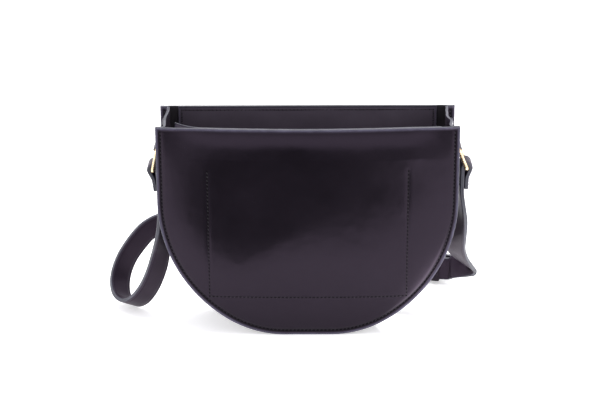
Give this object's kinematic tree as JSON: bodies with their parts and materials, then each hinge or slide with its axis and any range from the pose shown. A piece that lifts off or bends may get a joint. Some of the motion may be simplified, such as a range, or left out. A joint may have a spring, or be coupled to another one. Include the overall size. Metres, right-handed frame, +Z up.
{
  "type": "saddle handbag",
  "caption": "Half-moon leather shoulder bag, open at the top, with a U-shaped gusset, swinging side rings, an inner pocket and a buckled strap resting behind it.",
  "frame": {"origin": "on the floor, under the middle of the bag's depth and width", "axes": "+Z up, +X towards the right-hand ring seen from the front, -Y towards the front panel"},
  "size_m": [0.3122, 0.1363, 0.177],
  "materials": {
    "body_leather": "smooth plum-black grain with a soft sheen",
    "strap_leather": "smooth plum-black with burnished edges",
    "lining_leather": "matt flesh side",
    "thread": "waxed thread",
    "brass": "polished warm brass"
  },
  "bodies": {
    "bag": {"back_panel": "body_leather", "gusset": "body_leather", "back_facing": "lining_leather", "back_seam_thread": "thread", "back_facing_thread": "thread", "left_ring_tab": "strap_leather", "right_ring_tab": "strap_leather", "left_tab_thread": "thread", "right_tab_thread": "thread", "long_strap": "strap_leather", "short_strap": "strap_leather", "strap_buckle": "brass", "buckle_fold_thread": "thread"},
    "front_wall": {"front_panel": "body_leather", "front_facing": "lining_leather", "front_pocket": "lining_leather", "front_seam_thread": "thread", "pocket_thread": "thread"},
    "left_swing": {"left_ring": "brass", "left_strap_end": "strap_leather", "left_strap_end_thread": "thread"},
    "right_swing": {"right_ring": "brass", "right_strap_end": "strap_leather", "right_strap_end_thread": "thread"},
    "prong": {"buckle_prong": "brass"},
    "keeper": {"strap_keeper": "strap_leather"}
  },
  "joints": [
    {"name": "mouth_open", "type": "hinge", "parent": "bag", "child": "front_wall", "pos_m": [0, -0.03, 0], "axis": [1, 0, 0], "range_deg": [-5, 4], "stiffness_Nm_per_rad": 2, "deforming": ["gusset"]},
    {"name": "left_ring_swing", "type": "hinge", "parent": "bag", "child": "left_swing", "pos_m": [-0.1206, 0, 0.1523], "axis": [0, 1, 0], "range_deg": [-4, 45], "stiffness_Nm_per_rad": 0.05},
    {"name": "right_ring_swing", "type": "hinge", "parent": "bag", "child": "right_swing", "pos_m": [0.1206, 0, 0.1523], "axis": [0, -1, 0], "range_deg": [-10, 40], "stiffness_Nm_per_rad": 0.05},
    {"name": "buckle_prong_swing", "type": "hinge", "parent": "bag", "child": "prong", "pos_m": [0.084, 0.08872, 0.014], "axis": [0, 0, -1], "range_deg": [0, 8]},
    {"name": "keeper_slide", "type": "slide", "parent": "bag", "child": "keeper", "axis": [0.9724, -0.2334, 0], "range_m": [-0.013, 0.002]}
  ]
}
